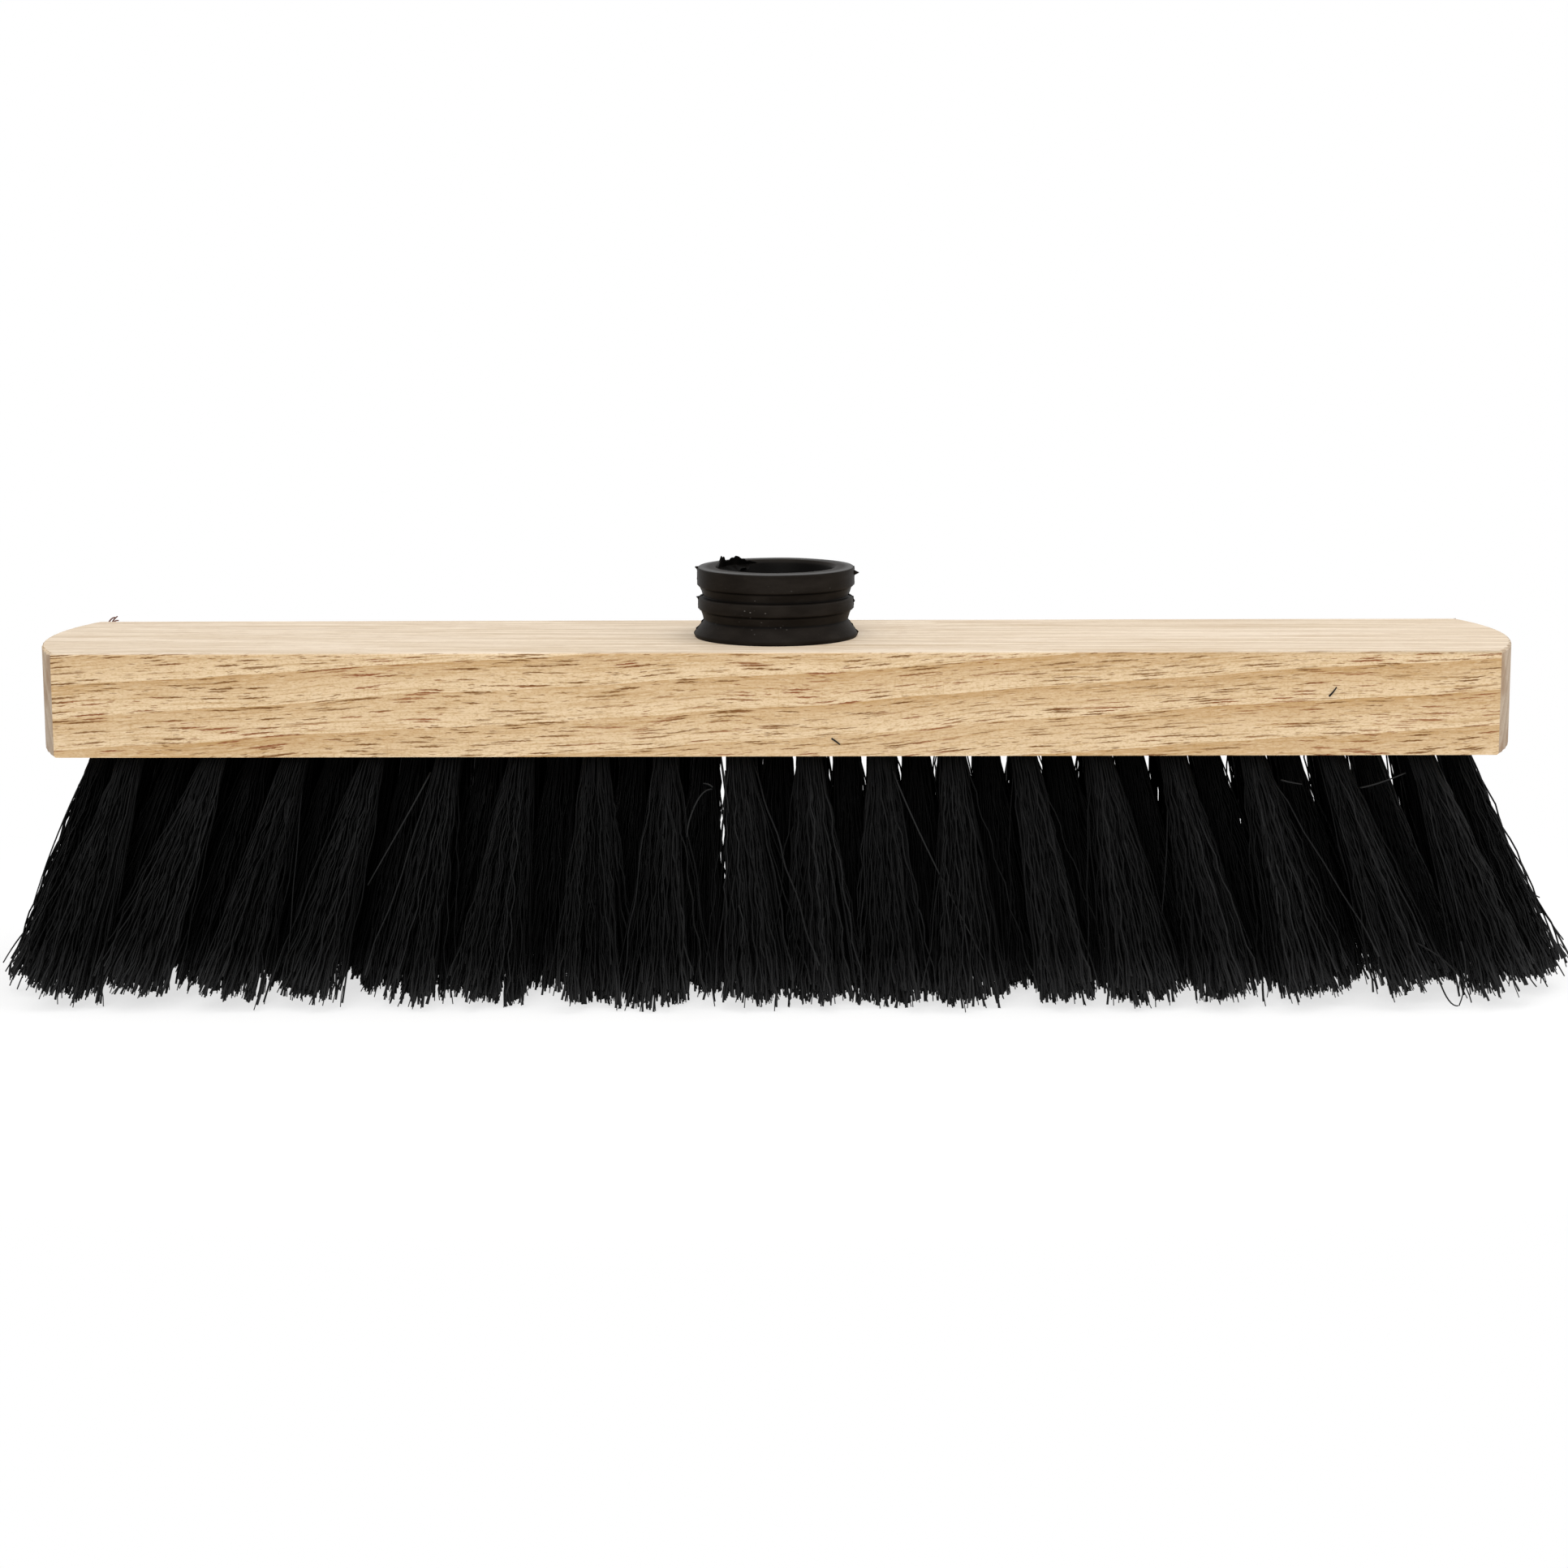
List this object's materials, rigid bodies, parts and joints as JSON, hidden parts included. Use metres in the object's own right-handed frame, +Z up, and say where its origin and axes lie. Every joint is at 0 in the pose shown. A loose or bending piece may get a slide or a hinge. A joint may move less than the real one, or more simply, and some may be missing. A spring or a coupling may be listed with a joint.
{
  "type": "push broom head",
  "caption": "Broom head: wooden block with bowed ends, ringed rubber handle socket on top and staggered fanned tufts of black crimped bristle underneath.",
  "frame": {"origin": "on the handle axis, in the plane that the bristle tips stand on", "axes": "+X along the block, +Y across it, +Z up along the handle axis"},
  "size_m": [0.4348, 0.0878, 0.1121],
  "materials": {
    "wood": "sawn and sanded light hardwood, unvarnished",
    "rubber": "matt black moulded rubber",
    "bristle": "black crimped fibre",
    "anchor_wire": "plain flat wire"
  },
  "bodies": {
    "root": {"block": "wood", "handle_socket": "rubber", "tuft_column_01": "bristle", "tuft_column_02": "bristle", "tuft_column_03": "bristle", "tuft_column_04": "bristle", "tuft_column_05": "bristle", "tuft_column_06": "bristle", "tuft_column_07": "bristle", "tuft_column_08": "bristle", "tuft_column_09": "bristle", "tuft_column_10": "bristle", "tuft_column_11": "bristle", "tuft_column_12": "bristle", "tuft_column_13": "bristle", "tuft_column_14": "bristle", "tuft_column_15": "bristle", "tuft_column_16": "bristle", "tuft_column_17": "bristle", "tuft_column_18": "bristle", "tuft_column_19": "bristle", "tuft_column_20": "bristle", "tuft_column_21": "bristle", "tuft_column_22": "bristle", "tuft_column_23": "bristle", "tuft_column_24": "bristle", "tuft_column_25": "bristle", "tuft_column_26": "bristle", "tuft_column_27": "bristle", "tuft_column_28": "bristle", "tuft_column_29": "bristle", "tuft_column_30": "bristle", "tuft_column_31": "bristle", "tuft_column_32": "bristle", "tuft_column_33": "bristle", "tuft_column_34": "bristle", "tuft_column_35": "bristle", "tuft_column_36": "bristle", "tuft_column_37": "bristle", "anchor_row_1": "anchor_wire", "anchor_row_2": "anchor_wire", "anchor_row_3": "anchor_wire", "anchor_row_4": "anchor_wire", "anchor_row_5": "anchor_wire"}
  },
  "joints": []
}
